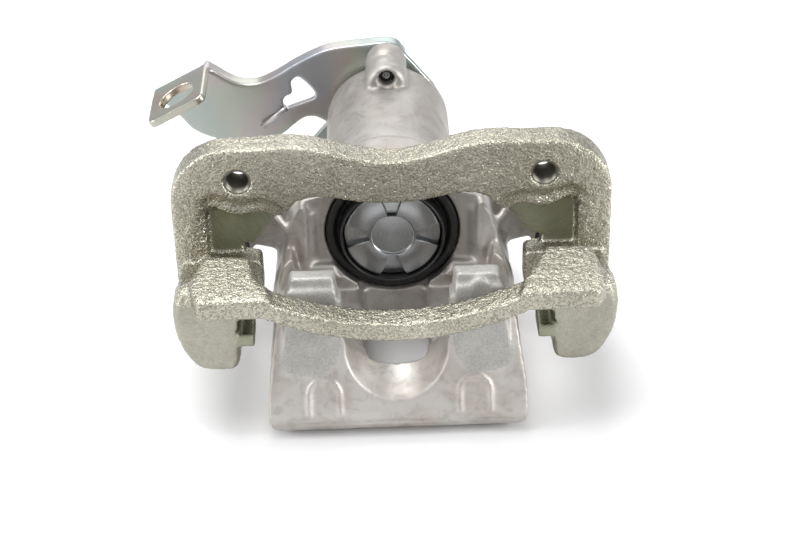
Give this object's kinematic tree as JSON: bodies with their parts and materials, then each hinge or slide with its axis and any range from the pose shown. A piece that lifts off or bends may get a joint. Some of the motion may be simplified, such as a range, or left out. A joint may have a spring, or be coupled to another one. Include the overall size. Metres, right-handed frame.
{
  "type": "brake caliper",
  "caption": "Floating rear disc-brake caliper: its housing slides on a fixed carrier, and a piston or a cable-worked lever squeezes the pads on the rotor.",
  "frame": {"origin": "centre of the piston's nose", "axes": "+Y along the piston towards the lever at the inboard end, +Z towards the wheel hub, X along the rotor's rim"},
  "size_m": [0.1836, 0.193, 0.0937],
  "materials": {
    "zinc_plated_iron": "sand casting, zinc plated, coarse grain",
    "cast_aluminium": "satin as cast",
    "machined_steel": "turned or ground",
    "zinc_plated_steel": "bright zinc passivated with a faint iridescence",
    "rubber": "smooth moulded",
    "bronze": "sintered"
  },
  "bodies": {
    "carrier": {"carrier": "zinc_plated_iron"},
    "housing": {"housing": "cast_aluminium", "guide_pin_left": "machined_steel", "guide_pin_right": "machined_steel", "pin_bolt_left": "zinc_plated_steel", "pin_bolt_right": "zinc_plated_steel", "pin_bush": "rubber", "pin_boot_left": "rubber", "pin_boot_right": "rubber", "piston_seal": "rubber", "piston_boot": "rubber", "shaft_thrust_bearing": "zinc_plated_steel", "shaft_bush": "bronze", "shaft_seal": "rubber", "cable_bracket": "zinc_plated_steel", "bracket_bolt_1": "zinc_plated_steel", "bracket_bolt_2": "zinc_plated_steel", "return_spring": "machined_steel"},
    "piston": {"piston": "machined_steel", "thrust_washer": "machined_steel", "adjuster_nut": "bronze", "adjuster_spring": "machined_steel", "spring_seat": "zinc_plated_steel", "piston_circlip": "zinc_plated_steel"},
    "spindle": {"adjuster_spindle": "machined_steel"},
    "balls": {"ball_cage": "bronze", "ramp_ball_1": "machined_steel", "ramp_ball_2": "machined_steel", "ramp_ball_3": "machined_steel"},
    "lever": {"lever": "zinc_plated_steel", "lever_shaft": "machined_steel", "lever_nut": "zinc_plated_steel"}
  },
  "joints": [
    {"name": "housing_slide", "type": "slide", "parent": "carrier", "child": "housing", "axis": [0, 1, 0], "range_m": [-0.0015, 0.012], "deforming": ["pin_boot_left", "pin_boot_right"]},
    {"name": "piston_slide", "type": "slide", "parent": "housing", "child": "piston", "axis": [0, -1, 0], "range_m": [0, 0.012], "deforming": ["piston_boot"]},
    {"name": "lever_hinge", "type": "hinge", "parent": "housing", "child": "lever", "pos_m": [0, 0.112, 0], "axis": [0, 1, 0], "range_deg": [0, 28], "stiffness_Nm_per_rad": 2, "springref_deg": -20.05, "deforming": ["return_spring"]},
    {"name": "spindle_slide", "type": "slide", "parent": "housing", "child": "spindle", "axis": [0, -1, 0], "range_m": [0, 0.00131]},
    {"name": "balls_roll", "type": "hinge", "parent": "housing", "child": "balls", "pos_m": [0, 0.078, 0], "axis": [0, 1, 0], "range_deg": [0, 14.1]}
  ],
  "couplings": [
    {"joint": "spindle_slide", "follows": "lever_hinge", "m_per_rad": 0.00266},
    {"joint": "balls_roll", "follows": "lever_hinge", "ratio": 0.5}
  ]
}
